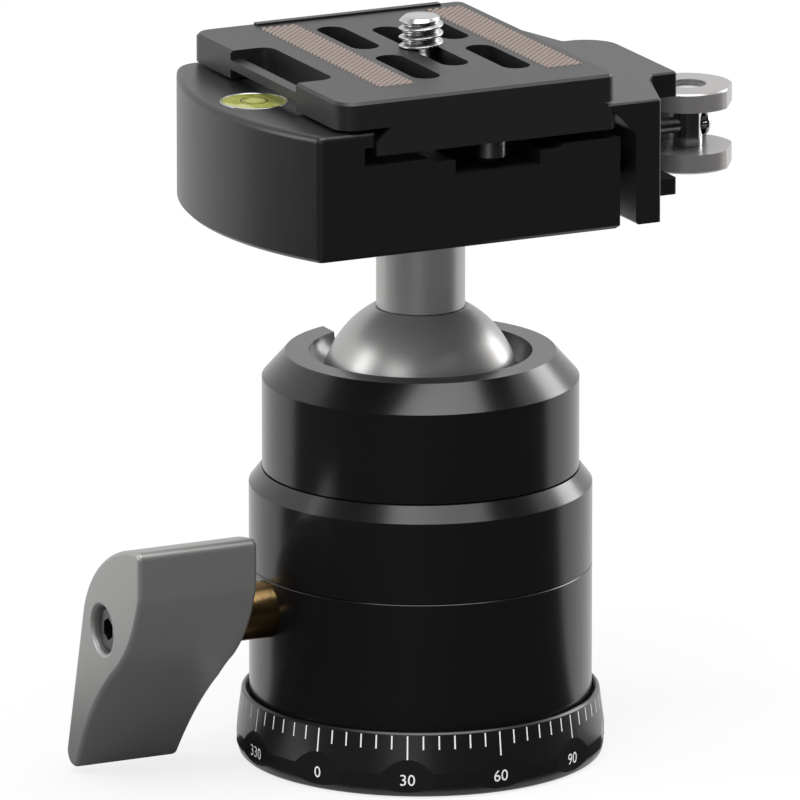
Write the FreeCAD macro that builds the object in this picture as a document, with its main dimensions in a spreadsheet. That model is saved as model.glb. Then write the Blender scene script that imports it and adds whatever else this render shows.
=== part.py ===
import FreeCAD, Part
import math
import os
import re
import Sketcher

# Tripod ball head with a lever clamp, a quick-release plate and a panning scale.
# +Z is the head's axis, the origin is the middle of the base's underside.
# The clamp closes along X, the plate slides along Y, the drop notch faces +Y.

os.makedirs("parts", exist_ok=True)
doc = FreeCAD.newDocument("BallHead")
sheet = doc.addObject("Spreadsheet::Sheet", "Sizes")

SIZES = [
    # Base and scale ring
    ("ring_foot", 0.2, "scale ring, height of its underside"),
    ("ring_low_r", 26.1, "scale ring, radius at its foot"),
    ("ring_wide_r", 26.5, "scale ring, widest radius"),
    ("ring_band_z", 3.6, "scale ring, top of its straight band"),
    ("ring_top_r", 25.75, "scale ring, radius at its rim"),
    ("ring_top_z", 9.5, "scale ring, height of its rim"),
    ("ring_bore_r", 24.95, "scale ring, bore around the body"),
    ("ring_floor_z", 7.7, "scale ring, floor of that bore"),
    ("rim_edge", 0.25, "scale ring, chamfer of its rim"),
    ("pad_flat", 26.22, "number pads, distance of their flats from the axis"),
    ("pad_half", 3.75, "number pads, half width"),
    ("pad_low_z", 0.85, "number pads, lower edge"),
    ("pad_corner", 1.6, "number pads, radius of the lower corners"),
    ("pad_count", 12, "number pads round the ring"),
    ("hub_r", 20.0, "base plate, radius"),
    ("hub_gap", 0.03, "base plate, gap to the ring"),
    ("hub_z", 7.4, "base plate, height"),
    ("spigot_r", 12.0, "pan spigot, radius"),
    ("spigot_z", 16.9, "pan spigot, top"),
    ("pan_groove_z", 13.0, "pan spigot, height of its groove and of the pan lock"),
    ("pan_groove_deep", 1.0, "pan spigot, depth of its groove"),
    ("bush_r", 7.0, "tripod bush, outer radius"),
    ("bush_bore_r", 4.7625, "tripod bush, radius of its 3/8 inch thread"),
    ("bush_z", 9.0, "tripod bush, length"),
    ("retainer_r", 15.0, "pan retainer, radius"),
    ("retainer_z", 16.95, "pan retainer, underside"),
    ("retainer_top", 18.9, "pan retainer, top"),
    ("pan_screw_ring", 7.5, "pan screws, radius of their circle"),
    ("pan_screw_r", 1.2, "pan screws, shank radius"),
    ("pan_screw_low", 11.0, "pan screws, lower end"),
    ("pan_head_r", 2.2, "pan screws, head radius"),
    ("pan_head_high", 1.4, "pan screws, head height"),
    ("washer_in", 12.3, "pan washer, inner radius"),
    ("washer_out", 19.6, "pan washer, outer radius"),
    ("washer_thick", 0.5, "pan washer, thickness"),
    # Body
    ("body_r", 24.63, "body, radius"),
    ("body_low_z", 8.0, "body, underside"),
    ("seam_z", 28.15, "body, seam between its halves"),
    ("seam_half", 0.02, "body, half the seam's gap"),
    ("seam_edge", 0.13, "body, edge break at the seam"),
    ("cavity_r", 15.3, "body, radius of its lower cavity"),
    ("run_gap", 0.05, "running clearance of turned fits"),
    ("shoulder_z", 40.0, "body, foot of the shoulder's chamfer"),
    ("shoulder_top", 42.25, "body, top of the shoulder"),
    ("shoulder_r", 22.9, "body, radius at the shoulder's top"),
    ("neck_r", 19.5, "body, radius of the neck inside the collar"),
    ("neck_z", 46.2, "body, top of that neck"),
    ("piston_r", 12.98, "pressure piston, radius"),
    ("swing_r", 16.5, "body, spherical hollow that the ball cup swings in"),
    # Collar and seat
    ("collar_r", 22.73, "collar, radius"),
    ("collar_low", 42.34, "collar, lower edge"),
    ("collar_bevel_z", 55.5, "collar, foot of its bevel"),
    ("collar_top", 59.26, "collar, top face"),
    ("collar_top_r", 19.4, "collar, outer radius of its top face"),
    ("collar_mouth_r", 16.02, "collar, inner radius of its top face"),
    ("collar_lip_r", 14.32, "collar, radius of the lip round the ball"),
    ("collar_lip_z", 56.3, "collar, top of that lip"),
    ("seat_top", 55.0, "seat ring, top"),
    ("seat_low", 51.3, "seat ring, underside"),
    ("seat_r", 16.9, "seat ring, outer radius"),
    ("notch_r", 6.75, "drop notch, half its width and its end radius"),
    # Ball, cup and stem
    ("ball_r", 14.3, "ball, radius"),
    ("ball_z", 53.25, "ball, height of its centre"),
    ("ball_gap", 0.06, "ball, clearance to its seats"),
    ("ball_flat_z", 65.85, "ball, flat under the stem"),
    ("cup_r", 16.3, "ball cup, outer radius"),
    ("cup_rim_z", 43.2, "ball cup, height of its rim"),
    ("cup_hole_r", 4.0, "ball cup, hole at its foot"),
    ("stem_r", 6.37, "stem, radius"),
    ("stem_low", 65.95, "stem, lower end"),
    ("stem_top", 80.55, "stem, upper end"),
    ("stem_pin_r", 4.4, "stem, radius of its pin in the ball"),
    ("stem_pin_low", 58.5, "stem, lower end of that pin"),
    # Lock spindle and wing knob
    ("lock_z", 23.75, "lock spindle, height of its axis"),
    ("lock_r", 4.1, "lock spindle, radius"),
    ("cam_r", 3.0, "lock spindle, radius of its eccentric"),
    ("cam_offset", 0.2, "lock spindle, offset of its eccentric"),
    ("cam_left", -13.0, "lock spindle, outer end of the eccentric"),
    ("cam_right", 7.0, "lock spindle, inner end of the eccentric"),
    ("tail_r", 2.5, "lock spindle, radius of its tail"),
    ("tail_x", 19.5, "lock spindle, end of its tail"),
    ("tail_hole_x", 20.0, "lock spindle, end of the tail's bore"),
    ("spindle_x", -44.5, "lock spindle, outer end"),
    ("piston_low", 27.0, "pressure piston, foot, clear of the eccentric all round"),
    ("piston_step", 29.0, "pressure piston, underside"),
    ("piston_top", 40.6, "pressure piston, rim"),
    ("piston_foot_r", 5.0, "pressure piston, radius of its foot"),
    ("dish_r", 16.55, "pressure piston, radius of its dish"),
    ("knob_in", -31.8, "wing knob, inner face"),
    ("knob_out", -50.4, "wing knob, outer face"),
    ("knob_bore_r", 3.45, "wing knob, counterbore radius"),
    ("knob_bore_deep", 4.2, "wing knob, counterbore depth"),
    ("knob_screw_r", 2.9, "knob screw, head radius"),
    ("knob_screw_high", 3.2, "knob screw, head height"),
    ("knob_shank_r", 2.0, "knob screw, shank radius"),
    ("knob_shank_x", -38.0, "knob screw, inner end"),
    # Pan lock
    ("pan_turn", 34.0, "pan lock, angle round the body"),
    ("stud_r", 2.4, "pan lock, stud radius"),
    ("stud_in", 16.1, "pan lock, inner end of the stud"),
    ("pan_knob_in", 27.6, "pan lock, inner face of its knob"),
    ("pan_knob_out", 38.0, "pan lock, outer face of its knob"),
    ("pan_knob_r", 5.2, "pan lock, knob radius"),
    ("flute_r", 0.7, "pan lock, radius of the knob's flutes"),
    ("flute_count", 14, "pan lock, flutes round the knob"),
    ("shoe_in", 12.3, "pan lock, inner end of the brass shoe"),
    ("shoe_out", 15.9, "pan lock, outer end of the brass shoe"),
    # Clamp
    ("clamp_low", 80.6, "clamp, underside"),
    ("clamp_top", 98.9, "clamp, top"),
    ("clamp_half", 25.0, "clamp, distance of its front from the middle"),
    ("clamp_back", 24.3, "clamp, distance of its back from the middle"),
    ("clamp_front_x", -27.75, "clamp, front corner beside the curved side"),
    ("clamp_back_x", -26.8, "clamp, back corner beside the curved side"),
    ("clamp_bow_r", 50.9, "clamp, radius of the curved side"),
    ("clamp_front_r", 1.3, "clamp, radius of its front upright corner"),
    ("clamp_back_r", 4.0, "clamp, radius of its back upright corner"),
    ("clamp_end_x", 19.3, "clamp, end of the fixed block"),
    ("clamp_edge", 0.5, "clamp, chamfer of its lower edge"),
    ("clamp_round", 0.9, "clamp, round of its upper edge"),
    ("tip_x", 17.4, "jaws, tips above the dovetail"),
    ("tip_z", 98.7, "jaws, height under the tips"),
    ("flank_x", 19.45, "jaws, foot of the flank"),
    ("flank_z", 96.65, "jaws, height of the flank's foot"),
    ("pocket_x", 20.9, "jaws, depth of the undercut"),
    ("floor_z", 94.0, "clamp, floor of the slot"),
    ("step_z", 93.45, "clamp, lower floor of the slot"),
    ("step_out", 10.6, "clamp, start of the step"),
    ("step_in", 9.6, "clamp, end of the step"),
    ("groove_half", 6.7, "clamp, half width of the stop groove"),
    ("groove_z", 91.4, "clamp, floor of the stop groove"),
    ("land_half", 16.3, "clamp, half length of the land between the grooves"),
    ("lead_in", 2.2, "clamp, lead-in chamfer at the jaw ends"),
    ("level_x", -26.75, "level, position across the clamp"),
    ("level_y", -1.05, "level, position along the clamp"),
    ("level_r", 4.9, "level, radius"),
    ("level_low", 95.2, "level, underside"),
    ("level_top", 98.85, "level, top"),
    ("clamp_screw_r", 2.95, "clamp screw, shank radius"),
    ("clamp_screw_low", 70.0, "clamp screw, lower end"),
    ("clamp_head_r", 4.9, "clamp screw, head radius"),
    ("clamp_head_low", 86.9, "clamp screw, underside of its head"),
    ("clamp_head_top", 90.9, "clamp screw, top of its head"),
    ("clamp_hex", 5.0, "clamp screw, hexagon socket across flats"),
    # Moving jaw and lever
    ("jaw_in", 21.8, "moving jaw, inner face"),
    ("jaw_low", 80.9, "moving jaw, underside"),
    ("jaw_lip_z", 94.3, "moving jaw, underside of its lip"),
    ("jaw_out", 35.2, "moving jaw, outer face"),
    ("jaw_end_x", 25.7, "moving jaw, outer corner of its ends"),
    ("jaw_mid_x", 29.9, "moving jaw, foot of the lugs"),
    ("lug_front", -11.4, "moving jaw, front corner of the lugs"),
    ("lug_back", 8.1, "moving jaw, back corner of the lugs"),
    ("lug_top_z", 95.3, "moving jaw, underside of the upper lug"),
    ("lug_low_z", 83.3, "moving jaw, top of the lower lug"),
    ("jaw_wall_x", 30.4, "moving jaw, wall between the lugs"),
    ("boss_half", 4.0, "moving jaw, half width of the boss that the cam bears on"),
    ("rod_z", 88.0, "tie rod, height of its axis"),
    ("rod_r", 1.2, "tie rod, radius"),
    ("rod_in", 9.0, "tie rod, inner end"),
    ("rod_out", 44.7, "tie rod, outer end"),
    ("nut_r", 1.9, "tie nut, radius"),
    ("nut_out", 46.1, "tie nut, top of its dome"),
    ("pin_y", 17.0, "guide pins, distance from the middle"),
    ("pin_r", 1.5, "guide pins, radius"),
    ("pin_in", 11.0, "guide pins, inner end"),
    ("pin_out", 26.0, "guide pins, outer end"),
    ("pivot_x", 42.7, "lever, pivot"),
    ("barrel_r", 2.1, "cam barrel, radius"),
    ("cam_eye_x", 42.35, "lever, centre of its cam discs"),
    ("cam_disc_r", 6.85, "lever, radius of its cam discs"),
    ("cam_flat", 6.3, "lever, distance of the release flat"),
    ("cam_flat_turn", -34.7, "lever, direction of the release flat"),
    ("lever_half", 5.9, "lever, half its height"),
    ("cheek", 2.8, "lever, thickness of a cam disc"),
    ("arm_half", 4.6, "lever, half height of its arm"),
    ("eye_clear", 4.1, "lever, radius kept free round the barrel"),
    ("cap_r", 2.6, "lever, recess over the barrel"),
    ("cap_deep", 0.5, "lever, depth of that recess"),
    # Plate
    ("plate_half", 25.0, "plate, half its length"),
    ("plate_top", 103.3, "plate, top"),
    ("plate_left", -24.6, "plate, edge of the strap flange"),
    ("plate_right", 18.7, "plate, other edge"),
    ("flange_z", 99.3, "plate, underside of its flange"),
    ("tail_low", 95.3, "plate, underside of the dovetail"),
    ("tail_side", 97.1, "plate, top of the dovetail's upright side"),
    ("tail_half", 19.0, "plate, half width of the dovetail"),
    ("plate_corner", 3.0, "plate, radius of its corners"),
    ("plate_edge", 0.4, "plate, chamfer of its top edge"),
    ("plate_mid_x", 1.0, "plate, middle of its slots"),
    ("slot_r", 2.1, "plate, half width of the slots"),
    ("slot_side", 7.1, "plate, distance of the side slots"),
    ("slot_near", 0.6, "plate, start of the front slots"),
    ("slot_far", 16.1, "plate, end of the front slots"),
    ("slot_back", 3.7, "plate, start of the back slots"),
    ("slot_end", 18.7, "plate, end of the back slots"),
    ("slot_mid_front", -10.7, "plate, front end of the middle slot"),
    ("slot_mid_back", 15.2, "plate, back end of the middle slot"),
    ("well_r", 6.7, "plate, half width of the screw well"),
    ("well_z", 99.0, "plate, ceiling of the screw well"),
    ("strip_deep", 0.3, "plate, depth of the grip strips' beds"),
    ("strip_proud", 0.12, "grip strips, height above the plate"),
    ("strip_off", 13.2, "grip strips, distance from the middle"),
    ("strip_half", 2.85, "grip strips, half width"),
    ("strip_front", -17.6, "grip strips, front end"),
    ("strip_back", 21.8, "grip strips, back end"),
    ("ridge_high", 0.3, "plate, height of the ridge on its back edge"),
    ("ridge_deep", 1.6, "plate, depth of that ridge"),
    ("ridge_half", 14.6, "plate, half length of that ridge"),
    ("strap_front", -10.3, "plate, front end of the strap slot"),
    ("strap_back", 11.3, "plate, back end of the strap slot"),
    ("strap_in", -18.4, "plate, inner side of the strap slot"),
    ("strap_round", 2.0, "plate, radius of the strap slot's inner corners"),
    ("strap_bar", 1.9, "plate, width of the bar outside the strap slot"),
    ("strap_bar_top", 101.95, "plate, top of that bar"),
    ("strap_bar_low", 100.6, "plate, underside of that bar"),
    ("stop_y", 22.3, "stop screws, distance from the middle"),
    ("stop_r", 2.45, "stop screws, head radius"),
    ("stop_low", 92.95, "stop screws, lower end"),
    ("stop_shank_r", 1.45, "stop screws, shank radius"),
    ("stop_shank_top", 98.9, "stop screws, upper end"),
    # Camera screw
    ("camera_y", 2.0, "camera screw, rest position in its slot"),
    ("thread_r", 3.175, "camera screw, radius of its 1/4 inch thread"),
    ("thread_low", 103.5, "camera screw, foot of the thread"),
    ("thread_top", 107.8, "camera screw, top"),
    ("thread_edge", 0.7, "camera screw, chamfer of its top"),
    ("screw_neck_r", 1.95, "camera screw, neck radius"),
    ("screw_head_r", 6.4, "camera screw, head radius"),
    ("screw_head_low", 96.0, "camera screw, underside of its head"),
    ("screw_head_top", 98.2, "camera screw, top of its head"),
    ("clip_r", 4.6, "screw clip, radius"),
    ("clip_low", 98.3, "screw clip, underside"),
    ("clip_top", 98.8, "screw clip, top"),
]
for row, (alias, size, note) in enumerate(SIZES, start=1):
    sheet.set(f"A{row}", note)
    sheet.set(f"B{row}", str(size))
    sheet.setAlias(f"B{row}", alias)
doc.recompute()

WORD = re.compile(r"\b[a-z][a-z_]*\b(?!\()")
V = FreeCAD.Vector
Z_AXIS = FreeCAD.Rotation()
X_AXIS = FreeCAD.Rotation(V(0, 1, 0), 90)
TALL = "60"
NODES = {}


def sized(text):
    """Turn the words of an expression into cells of the sheet."""
    return WORD.sub(lambda word: "Sizes." + word.group(0), text)


def value(text):
    return float(sheet.evalExpression(sized(text)))


def bind(thing, name, text):
    thing.setExpression(name, sized(text))


def place(thing, at, turn=Z_AXIS):
    thing.Placement = FreeCAD.Placement(V(*[value(part) for part in at]), turn)
    for axis, part in zip("xyz", at):
        bind(thing, f"Placement.Base.{axis}", part)
    return thing


def node(name, thing):
    """Give a finished sub-part the label that names its file."""
    thing.Label = name
    NODES[name] = thing
    return thing


# Primitives and booleans

def rod(name, radius, length, at, turn=Z_AXIS):
    thing = doc.addObject("Part::Cylinder", name)
    bind(thing, "Radius", radius)
    bind(thing, "Height", length)
    return place(thing, at, turn)


def block(name, size, at):
    thing = doc.addObject("Part::Box", name)
    for side, part in zip(("Length", "Width", "Height"), size):
        bind(thing, side, part)
    return place(thing, at)


def globe(name, radius):
    thing = doc.addObject("Part::Sphere", name)
    bind(thing, "Radius", radius)
    return place(thing, ("0", "0", "ball_z"))


def joined(name, parts):
    thing = doc.addObject("Part::MultiFuse", name)
    thing.Shapes = parts
    return thing


def cut(name, base, *tools):
    thing = doc.addObject("Part::Cut", name)
    thing.Base = base
    thing.Tool = tools[0] if len(tools) == 1 else joined(name + "_tools", list(tools))
    return thing


def group(name, parts):
    thing = doc.addObject("Part::Compound", name)
    thing.Links = parts
    return thing


# Sketches and features

def plane(body, role):
    return next(part for part in body.Origin.OriginFeatures if part.Role == role)


def new_body(name):
    return doc.addObject("PartDesign::Body", name + "_body")


def arc_through(a, b, radius):
    """Arc from a to b; a positive radius bulges to the right of the way from a to b."""
    chord = b - a
    side = V(chord.y, -chord.x, 0).normalize()
    rise = abs(radius) - math.sqrt(max(radius * radius - chord.Length ** 2 / 4, 0))
    middle = (a + b) / 2 + side * math.copysign(rise, radius)
    return Part.Arc(a, middle, b) if radius > 0 else Part.Arc(b, middle, a)


def pin_point(sketch, curve, end, x_text, y_text, kinds=("DistanceX", "DistanceY")):
    """Hold one point of a curve at a place given by the sheet."""
    for kind, axis_line, text in (("DistanceX", -2, x_text), ("DistanceY", -1, y_text)):
        if kind not in kinds:
            continue
        if text == "0":
            sketch.addConstraint(Sketcher.Constraint("PointOnObject", curve, end, axis_line))
            continue
        index = sketch.addConstraint(Sketcher.Constraint(kind, -1, 1, curve, end, value(text)))
        bind(sketch, f"Constraints[{index}]", text)


def loop(sketch, corners):
    """Closed outline: a corner is (x, y), or (x, y, radius) where an arc leaves it."""
    points = [V(value(corner[0]), value(corner[1]), 0) for corner in corners]
    starts = []
    for index, corner in enumerate(corners):
        here, there = points[index], points[(index + 1) % len(points)]
        if len(corner) == 2:
            curve = sketch.addGeometry(Part.LineSegment(here, there))
            starts.append((curve, 1, 2))
            continue
        radius = value(corner[2])
        curve = sketch.addGeometry(arc_through(here, there, radius))
        starts.append((curve, 1, 2) if radius > 0 else (curve, 2, 1))
    for index, (curve, start, end) in enumerate(starts):
        following, next_start, _ = starts[(index + 1) % len(starts)]
        sketch.addConstraint(Sketcher.Constraint("Coincident", curve, end, following, next_start))
    for number, ((curve, start, _), corner) in enumerate(zip(starts, corners)):
        pin_point(sketch, curve, start, corner[0], corner[1])
        if len(corner) == 3:
            size = abs(value(corner[2]))
            chord = points[number] - points[(number + 1) % len(points)]
            if size - chord.Length / 2 < 1e-6:
                # A half round between ends side by side: its centre lies level with them.
                pin_point(sketch, curve, 3, corner[0], corner[1], ("DistanceY",))
                continue
            index = sketch.addConstraint(Sketcher.Constraint("Radius", curve, size))
            bind(sketch, f"Constraints[{index}]", f"abs({corner[2]})")


def drawing(body, role, loops, lift=None):
    sketch = body.newObject("Sketcher::SketchObject", body.Name + "_sketch")
    sketch.AttachmentSupport = (plane(body, role), [""])
    sketch.MapMode = "FlatFace"
    if lift:
        sketch.AttachmentOffset = FreeCAD.Placement(V(0, 0, value(lift)), FreeCAD.Rotation())
        bind(sketch, "AttachmentOffset.Base.z", lift)
    for corners in loops:
        loop(sketch, corners)
    return sketch


def turned(name, corners):
    """Body of revolution about Z from corners given as radius and height."""
    body = new_body(name)
    sketch = drawing(body, "XZ_Plane", [corners])
    feature = body.newObject("PartDesign::Revolution", name + "_turn")
    feature.Profile = sketch
    feature.ReferenceAxis = (sketch, ["V_Axis"])
    feature.Angle = 360
    doc.recompute()
    return body


def pad(body, role, loops, length, lift=None, both=False):
    sketch = drawing(body, role, loops, lift)
    feature = body.newObject("PartDesign::Pad", body.Name + "_pad")
    feature.Profile = sketch
    if both:
        feature.SideType = "Symmetric"
    bind(feature, "Length", length)
    doc.recompute()
    return feature


def pocket(body, role, loops, length, lift=None, both=False, backwards=False):
    """Cut a sketch into the body, and check that it has cut something."""
    before = body.Shape.Volume
    sketch = drawing(body, role, loops, lift)
    feature = body.newObject("PartDesign::Pocket", body.Name + "_pocket")
    feature.Profile = sketch
    feature.Reversed = backwards
    if both:
        feature.SideType = "Symmetric"
    bind(feature, "Length", length)
    doc.recompute()
    if body.Shape.Volume > before - 1e-3:
        raise ValueError(f"{feature.Name} cuts nothing")
    return feature


def soften(body, kind, size, wanted):
    """Fillet or chamfer the edges of the last feature that pass a test."""
    base = body.Tip
    edges = [f"Edge{n}" for n, edge in enumerate(base.Shape.Edges, start=1) if wanted(edge)]
    feature = body.newObject("PartDesign::" + kind, f"{body.Name}_{kind.lower()}")
    feature.Base = (base, edges)
    bind(feature, "Radius" if kind == "Fillet" else "Size", size)
    doc.recompute()
    return feature


def upright(edge):
    box = edge.BoundBox
    return box.XLength < 1e-6 and box.YLength < 1e-6


def level_at(height):
    """Test for an edge that lies flat at one height."""
    return lambda edge: abs(edge.BoundBox.ZMin - height) < 1e-5 and abs(edge.BoundBox.ZMax - height) < 1e-5


def slot(x, front, back, radius):
    """Stadium outline along Y between its two ends."""
    left, right = f"{x} - {radius}", f"{x} + {radius}"
    near, far = f"{front} + {radius}", f"{back} - {radius}"
    return [(left, far), (left, near, radius), (right, near), (right, far, radius)]


def rectangle(left, right, low, high):
    return [(left, low), (right, low), (right, high), (left, high)]


def hexagon(name, across, height, at, turn=Z_AXIS):
    thing = doc.addObject("Part::Prism", name)
    thing.Polygon = 6
    bind(thing, "Circumradius", f"{across} / sqrt(3)")
    bind(thing, "Height", height)
    return place(thing, at, turn)


# Base: what stays still on the tripod

def scale_ring():
    ring = turned("scale_ring", [
        ("hub_r", "ring_foot"),
        ("ring_low_r - rim_edge", "ring_foot"),
        ("ring_low_r", "ring_foot + rim_edge"),
        ("ring_wide_r", "ring_foot + 6 * rim_edge"),
        ("ring_wide_r", "ring_band_z"),
        ("ring_top_r", "ring_top_z - rim_edge"),
        ("ring_top_r - rim_edge", "ring_top_z"),
        ("ring_bore_r + rim_edge", "ring_top_z"),
        ("ring_bore_r", "ring_top_z - rim_edge"),
        ("ring_bore_r", "ring_floor_z"),
        ("hub_r", "ring_floor_z"),
    ])
    corner = "pad_corner"
    pads = pocket(ring, "XZ_Plane", [[
        ("-pad_half", "pad_low_z + pad_corner", corner),
        ("-pad_half + pad_corner", "pad_low_z"),
        ("pad_half - pad_corner", "pad_low_z", corner),
        ("pad_half", "pad_low_z + pad_corner"),
        ("pad_half", "ring_top_z"),
        ("-pad_half", "ring_top_z"),
    ]], "ring_wide_r - pad_flat + 1", lift="pad_flat", backwards=True)
    pattern = ring.newObject("PartDesign::PolarPattern", "pad_pattern")
    pattern.Originals = [pads]
    pattern.Axis = (plane(ring, "Z_Axis"), [""])
    pattern.Angle = 360
    bind(pattern, "Occurrences", "pad_count")
    ring.Tip = pattern
    doc.recompute()
    return node("scale_ring", ring)


def base_plate():
    plate = turned("base_plate", [
        ("bush_r + hub_gap", "0"),
        ("hub_r - hub_gap", "0"),
        ("hub_r - hub_gap", "hub_z"),
        ("spigot_r", "hub_z"),
        ("spigot_r", "pan_groove_z - 1.5 * pan_groove_deep"),
        ("spigot_r - pan_groove_deep", "pan_groove_z - 0.5 * pan_groove_deep"),
        ("spigot_r - pan_groove_deep", "pan_groove_z + 0.5 * pan_groove_deep"),
        ("spigot_r", "pan_groove_z + 1.5 * pan_groove_deep"),
        ("spigot_r", "spigot_z"),
        ("0", "spigot_z"),
        ("0", "bush_z + hub_gap"),
        ("bush_r + hub_gap", "bush_z + hub_gap"),
    ])
    holes = [pan_screw_part(f"base_hole_{n}", "pan_screw_r + run_gap", "pan_screw_low - 0.2", TALL, n)
             for n in range(3)]
    return node("base_plate", cut("base_plate_cut", plate, *holes))


def pan_screw_part(name, radius, low, length, number):
    """Cylinder at one of the three places on the pan screws' circle."""
    angle = 90 + 120 * number
    at = (f"pan_screw_ring * cos({angle})", f"pan_screw_ring * sin({angle})", low)
    return rod(name, radius, length, at)


def tripod_bush():
    return node("tripod_bush", turned("tripod_bush", [
        ("bush_bore_r", "0"), ("bush_r", "0"), ("bush_r", "bush_z"), ("bush_bore_r", "bush_z")]))


def pan_retainer():
    disc = turned("pan_retainer", [
        ("0", "retainer_z"), ("retainer_r", "retainer_z"),
        ("retainer_r", "retainer_top - rim_edge"), ("retainer_r - rim_edge", "retainer_top"),
        ("0", "retainer_top")])
    holes = [pan_screw_part(f"retainer_hole_{n}", "pan_screw_r + 3 * run_gap", "pan_screw_low", TALL, n)
             for n in range(3)]
    return node("pan_retainer", cut("pan_retainer_cut", disc, *holes))


def pan_screws():
    screws = []
    for n in range(3):
        shank = pan_screw_part(f"pan_shank_{n}", "pan_screw_r", "pan_screw_low",
                               "retainer_top - pan_screw_low", n)
        head = pan_screw_part(f"pan_head_{n}", "pan_head_r", "retainer_top", "pan_head_high", n)
        screws.append(joined(f"pan_screw_{n}", [shank, head]))
    return node("pan_screws", group("pan_screw_group", screws))


def pan_washer():
    low = "hub_z + run_gap / 2"
    high = "hub_z + run_gap / 2 + washer_thick"
    return node("pan_washer", turned("pan_washer", [
        ("washer_in", low), ("washer_out", low), ("washer_out", high), ("washer_in", high)]))


# Body: what turns on the base

def pan_spot(reach):
    """Place on the pan lock's axis at a distance from the head's axis."""
    return (f"({reach}) * cos(pan_turn)", f"({reach}) * sin(pan_turn)", "pan_groove_z")


def pan_rod(name, radius, start, end):
    turn = FreeCAD.Rotation(V(0, 0, 1), value("pan_turn")).multiply(X_AXIS)
    return rod(name, radius, f"({end}) - ({start})", pan_spot(start), turn)


def lower_body():
    shell = turned("lower_body", [
        ("spigot_r + run_gap", "body_low_z"),
        ("body_r - 3 * seam_edge", "body_low_z"),
        ("body_r", "body_low_z + 3 * seam_edge"),
        ("body_r", "seam_z - seam_half - seam_edge"),
        ("body_r - seam_edge", "seam_z - seam_half"),
        ("cavity_r", "seam_z - seam_half"),
        ("cavity_r", "retainer_z - 2 * run_gap"),
        ("spigot_r + run_gap", "retainer_z - 2 * run_gap"),
    ])
    spindle_hole = rod("spindle_hole", "lock_r + run_gap", "30", ("-30", "0", "lock_z"), X_AXIS)
    tail_hole = rod("tail_hole", "tail_r + run_gap", "tail_hole_x", ("0", "0", "lock_z"), X_AXIS)
    pan_hole = pan_rod("pan_hole", "stud_r + run_gap", "spigot_r - 1", "body_r + 1")
    return node("lower_body", cut("lower_body_cut", shell, spindle_hole, tail_hole, pan_hole))


def upper_body():
    shell = turned("upper_body", [
        ("piston_r + run_gap", "seam_z + seam_half"),
        ("body_r - seam_edge", "seam_z + seam_half"),
        ("body_r", "seam_z + seam_half + seam_edge"),
        ("body_r", "shoulder_z"),
        ("shoulder_r", "shoulder_top"),
        ("neck_r", "shoulder_top"),
        ("neck_r", "neck_z"),
        ("piston_r + run_gap", "neck_z"),
    ])
    return node("upper_body", cut("upper_body_cut", shell, globe("swing_hollow", "swing_r")))


def notch_cutters(name):
    """Drop notch towards +Y: a round bottom at the ball's centre, open above."""
    turn = FreeCAD.Rotation(V(1, 0, 0), -90)
    bottom = rod(name + "_round", "notch_r", TALL, ("0", "0", "ball_z"), turn)
    above = block(name + "_open", ("2 * notch_r", TALL, TALL), ("-notch_r", "0", "ball_z"))
    return bottom, above


def collar():
    ring = turned("collar", [
        ("neck_r + run_gap", "collar_low"),
        ("collar_r - seam_edge", "collar_low"),
        ("collar_r", "collar_low + seam_edge"),
        ("collar_r", "collar_bevel_z"),
        ("collar_top_r", "collar_top"),
        ("collar_mouth_r", "collar_top", "-5.4"),
        ("collar_lip_r", "collar_lip_z"),
        ("collar_lip_r", "seat_top + run_gap"),
        ("seat_r + run_gap", "seat_top + run_gap"),
        ("seat_r + run_gap", "neck_z + 2 * run_gap"),
        ("neck_r + run_gap", "neck_z + 2 * run_gap"),
    ])
    return node("collar", cut("collar_cut", ring, *notch_cutters("collar_notch")))


def seat_ring():
    ring = turned("seat_ring", [
        ("ball_r - 1", "seat_low"), ("seat_r", "seat_low"), ("seat_r", "seat_top"), ("ball_r - 1", "seat_top")])
    hollow = globe("seat_hollow", "ball_r + ball_gap")
    return node("seat_ring", cut("seat_ring_cut", ring, hollow, *notch_cutters("seat_notch")))


def pressure_piston():
    piston = turned("pressure_piston", [
        ("0", "piston_low"), ("piston_foot_r", "piston_low"), ("piston_foot_r", "piston_step"),
        ("piston_r", "piston_step"), ("piston_r", "piston_top"), ("0", "piston_top")])
    return node("pressure_piston", cut("pressure_piston_cut", piston, globe("dish", "dish_r")))


def pan_shoe():
    return node("pan_shoe", pan_rod("pan_shoe_rod", "stud_r", "shoe_in", "shoe_out"))


# Pan lock knob

def pan_knob():
    knob = turned("pan_knob", [
        ("0", "pan_knob_in"), ("pan_knob_r - flute_r", "pan_knob_in"), ("pan_knob_r", "pan_knob_in + flute_r"),
        ("pan_knob_r", "pan_knob_out - flute_r"), ("pan_knob_r - flute_r", "pan_knob_out"), ("0", "pan_knob_out")])
    flute = pocket(knob, "XY_Plane", [round_loop("flute_r", "pan_knob_r + 0.3 * flute_r")],
                   "pan_knob_out - pan_knob_in", lift="pan_knob_in", backwards=True)
    pattern = knob.newObject("PartDesign::PolarPattern", "flute_pattern")
    pattern.Originals = [flute]
    pattern.Axis = (plane(knob, "Z_Axis"), [""])
    pattern.Angle = 360
    bind(pattern, "Occurrences", "flute_count")
    knob.Tip = pattern
    bore = rod("pan_knob_bore", "stud_r + hub_gap", "6", ("0", "0", "pan_knob_in - 1"))
    solid = cut("pan_knob_cut", knob, bore)
    turn = FreeCAD.Rotation(V(0, 0, 1), value("pan_turn")).multiply(X_AXIS)
    return node("pan_knob", place(solid, ("0", "0", "pan_groove_z"), turn))


def round_loop(radius, x="0"):
    """Circle drawn as two half arcs about a centre on the sketch's X axis."""
    return [(f"{x} + {radius}", "0", radius), (f"{x} - {radius}", "0", radius)]


def pan_stud():
    return node("pan_stud", pan_rod("pan_stud_rod", "stud_r", "stud_in", "pan_knob_in + 4.8"))


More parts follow.
